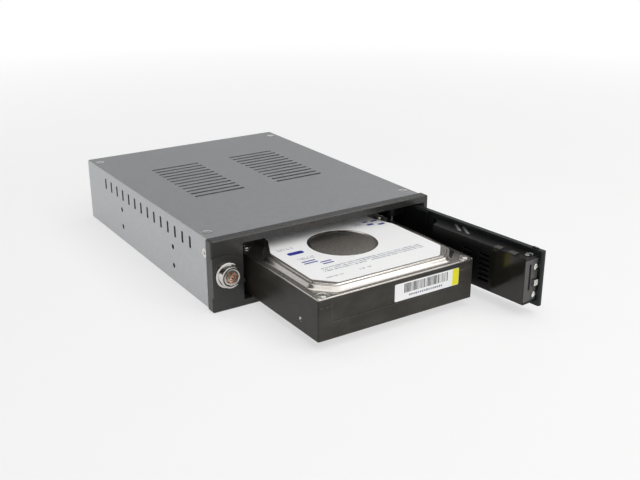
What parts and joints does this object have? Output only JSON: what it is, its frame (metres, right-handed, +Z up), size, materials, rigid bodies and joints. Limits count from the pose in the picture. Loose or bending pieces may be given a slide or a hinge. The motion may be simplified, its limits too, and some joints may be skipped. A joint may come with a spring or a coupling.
{
  "type": "hot swap drive cage",
  "caption": "Low drive cage for a computer's front bay, with a lockable hinged door and a bare hard drive that slides in on rails.",
  "frame": {"origin": "bottom centre of the bezel's rear face, where the underside meets the bay's front plane", "axes": "+X to the right seen from the front, +Y to the back along the drive's travel, +Z up"},
  "size_m": [0.1509, 0.2915, 0.042],
  "materials": {
    "bezel_plastic": "dark grey satin moulded plastic with a fine grain",
    "sheet_steel": "zinc plated steel sheet, satin",
    "screw_steel": "bright zinc plated screws",
    "black_screw": "black oxide screws",
    "guide_plastic": "black moulded plastic, slightly worn where the drive slides",
    "lock_chrome": "polished chrome plate",
    "lock_core_metal": "copper tinted plated core, turned face",
    "plated_steel": "plated steel, brushed",
    "switch_plastic": "black thermoset switch case",
    "board_laminate": "green solder mask over glass laminate",
    "socket_plastic": "black moulded socket",
    "connector_plastic": "natural nylon",
    "capacitor_sleeve": "dark blue shrink sleeve with a bare aluminium end",
    "fan_plastic": "black glass filled plastic",
    "guard_wire": "nickel plated wire",
    "pin_steel": "ground steel pin",
    "door_plate_plastic": "near black satin plastic",
    "door_frame_plastic": "black satin moulded plastic",
    "door_cap_plastic": "grey moulded plastic",
    "gloss_panel_plastic": "polished black plastic",
    "bush_plastic": "natural acetal bush",
    "drive_casting": "dark coated aluminium casting with a fine cast grain",
    "drive_lid_metal": "pressed bright aluminium, satin",
    "label_paper": "white coated label",
    "drive_board_laminate": "blue green solder mask",
    "motor_steel": "turned aluminium motor cup"
  },
  "bodies": {
    "root": {"front_bezel": "bezel_plastic", "bottom_tray": "sheet_steel", "top_cover": "sheet_steel", "rear_panel": "sheet_steel", "cover_screws": "screw_steel", "bezel_screws": "screw_steel", "rear_panel_screws": "screw_steel", "guide_screws": "screw_steel", "drive_guide_left": "guide_plastic", "drive_guide_right": "guide_plastic", "hinge_pin": "pin_steel", "lock_barrel": "lock_chrome", "lock_nut": "plated_steel", "lock_switch": "switch_plastic", "backplane_board": "board_laminate", "board_standoffs": "plated_steel", "board_screws": "screw_steel", "drive_socket": "socket_plastic", "data_connector": "socket_plastic", "power_connector": "connector_plastic", "filter_capacitors": "capacitor_sleeve", "fan_frame": "fan_plastic", "fan_screws": "black_screw", "fan_guard": "guard_wire"},
    "lock": {"lock_core": "lock_core_metal", "lock_cam": "plated_steel", "cam_screw": "screw_steel"},
    "door": {"door_cover_plate": "door_plate_plastic", "door_inner_frame": "door_frame_plastic", "hinge_arm": "door_frame_plastic", "hinge_bushes": "bush_plastic", "door_end_cap": "door_cap_plastic", "end_cap_screws": "screw_steel", "door_gloss_panel": "gloss_panel_plastic", "panel_clips": "plated_steel", "spring_clips": "plated_steel", "latch_pin": "plated_steel", "latch_spring": "plated_steel", "door_knob": "door_frame_plastic"},
    "latch": {"latch_bolt": "plated_steel"},
    "fan": {"fan_rotor": "fan_plastic"},
    "drive": {"drive_base": "drive_casting", "drive_cover": "drive_lid_metal", "drive_cover_screws": "screw_steel", "top_label": "label_paper", "front_label": "label_paper", "drive_board": "drive_board_laminate", "drive_board_screws": "screw_steel", "drive_connector": "socket_plastic", "spindle_motor": "motor_steel"}
  },
  "joints": [
    {"name": "door_hinge", "type": "hinge", "parent": "root", "child": "door", "pos_m": [0.0552, 0.0052, 0.021], "axis": [0, 0, 1], "range_deg": [-5, 10]},
    {"name": "drive_slide", "type": "slide", "parent": "root", "child": "drive", "axis": [0, -1, 0], "range_m": [-0.084, 0.07]},
    {"name": "lock_turn", "type": "hinge", "parent": "root", "child": "lock", "pos_m": [-0.0657, 0, 0.0216], "axis": [0, 1, 0], "range_deg": [0, 90]},
    {"name": "latch_slide", "type": "slide", "parent": "door", "child": "latch", "axis": [0.0924, -0.9957, 0], "range_m": [-0.0018, 0], "stiffness_N_per_m": 150, "springref_m": 0.0006},
    {"name": "fan_spin", "type": "hinge", "parent": "root", "child": "fan", "pos_m": [0.046, 0.18, 0.02065], "axis": [0, 1, 0], "continuous": true}
  ]
}
